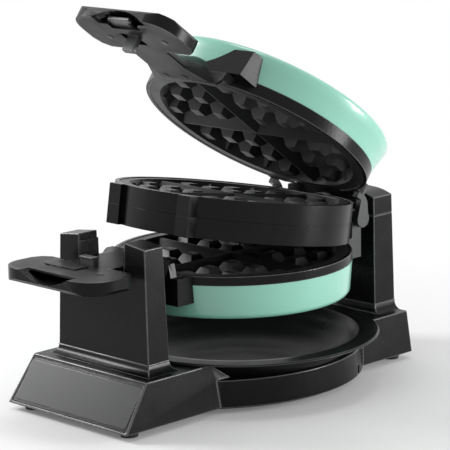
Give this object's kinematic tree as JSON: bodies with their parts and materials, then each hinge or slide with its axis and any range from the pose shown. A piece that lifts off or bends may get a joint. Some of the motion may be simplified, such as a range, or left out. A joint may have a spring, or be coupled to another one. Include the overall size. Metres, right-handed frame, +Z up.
{
  "type": "rotating double waffle maker",
  "caption": "Counter-top waffle maker whose head of three round hinged leaves turns over in a tower and a cradle on a low base with a drip tray.",
  "frame": {"origin": "on the table, under the middle of the outline", "axes": "+X from the cradle and handles to the hinge tower, +Y to the back, +Z up"},
  "size_m": [0.39, 0.256, 0.3522],
  "materials": {
    "mint_gloss": "gloss",
    "black_plastic": "satin",
    "cover_plastic": "satin",
    "tray_black": "satin",
    "trim_grey": "gloss",
    "nonstick": "speckled non-stick coat",
    "heater_tube": "oxidised",
    "reflector_sheet": "mill finish",
    "ceramic_white": "matt",
    "plain_steel": "zinc plated",
    "arm_steel": "grey satin",
    "bush_brass": "plain",
    "black_rubber": "matt",
    "grey_plastic": "satin"
  },
  "bodies": {
    "base": {"base_housing": "black_plastic", "base_plate": "black_plastic", "rubber_feet": "black_rubber", "base_screws": "plain_steel", "foot_trim_panel": "trim_grey", "cradle": "black_plastic", "cradle_liner": "black_plastic", "tower": "black_plastic", "tower_cap": "black_plastic", "tower_cap_screws": "plain_steel", "axle_bushes": "bush_brass", "terminal_block": "ceramic_white", "cord_gland": "black_rubber"},
    "tray": {"drip_tray": "tray_black"},
    "yoke": {"axle": "plain_steel", "axle_clip": "plain_steel", "axle_collar": "plain_steel", "hinge_yoke": "black_plastic", "hinge_pin": "plain_steel"},
    "lower_lid": {"lower_shell": "mint_gloss", "lower_ring": "black_plastic", "lower_plate": "nonstick", "lower_element": "heater_tube", "lower_reflector": "reflector_sheet", "lower_thermostat": "ceramic_white", "lower_hinge_arms": "arm_steel", "lower_handle": "black_plastic", "lower_handle_cover": "cover_plastic", "lower_handle_screws": "plain_steel", "latch_strike": "grey_plastic"},
    "middle": {"mid_upper_ring": "black_plastic", "mid_lower_ring": "black_plastic", "mid_upper_plate": "nonstick", "mid_lower_plate": "nonstick", "mid_element": "heater_tube", "mid_thermal_fuse": "ceramic_white", "mid_hinge_arms": "black_plastic", "mid_screws": "plain_steel"},
    "upper_lid": {"upper_shell": "mint_gloss", "upper_ring": "black_plastic", "upper_plate": "nonstick", "upper_element": "heater_tube", "upper_reflector": "reflector_sheet", "upper_thermostat": "ceramic_white", "upper_hinge_arms": "arm_steel", "upper_handle": "black_plastic", "upper_handle_cover": "cover_plastic", "upper_handle_screws": "plain_steel", "latch_spring": "plain_steel"},
    "latch": {"latch_slider": "grey_plastic"}
  },
  "joints": [
    {"name": "tray_lift", "type": "slide", "parent": "base", "child": "tray", "axis": [0, 0, 1], "range_m": [0, 0.028]},
    {"name": "head_flip", "type": "hinge", "parent": "base", "child": "yoke", "pos_m": [0.171, 0.009, 0.139], "axis": [-1, 0, 0], "range_deg": [-75, 0]},
    {"name": "lower_lid_lift", "type": "hinge", "parent": "yoke", "child": "lower_lid", "pos_m": [0.148, 0.009, 0.139], "axis": [0, 1, 0], "range_deg": [0, 6]},
    {"name": "middle_swing", "type": "hinge", "parent": "lower_lid", "child": "middle", "pos_m": [0.148, 0.009, 0.139], "axis": [0, 1, 0], "range_deg": [-9, 15]},
    {"name": "upper_lid_swing", "type": "hinge", "parent": "middle", "child": "upper_lid", "pos_m": [0.148, 0.009, 0.139], "axis": [0, 1, 0], "range_deg": [-27, 17]},
    {"name": "latch_pull", "type": "slide", "parent": "upper_lid", "child": "latch", "axis": [-0.809, 0, 0.5878], "range_m": [0, 0.004], "stiffness_N_per_m": 400, "deforming": ["latch_spring"]}
  ]
}
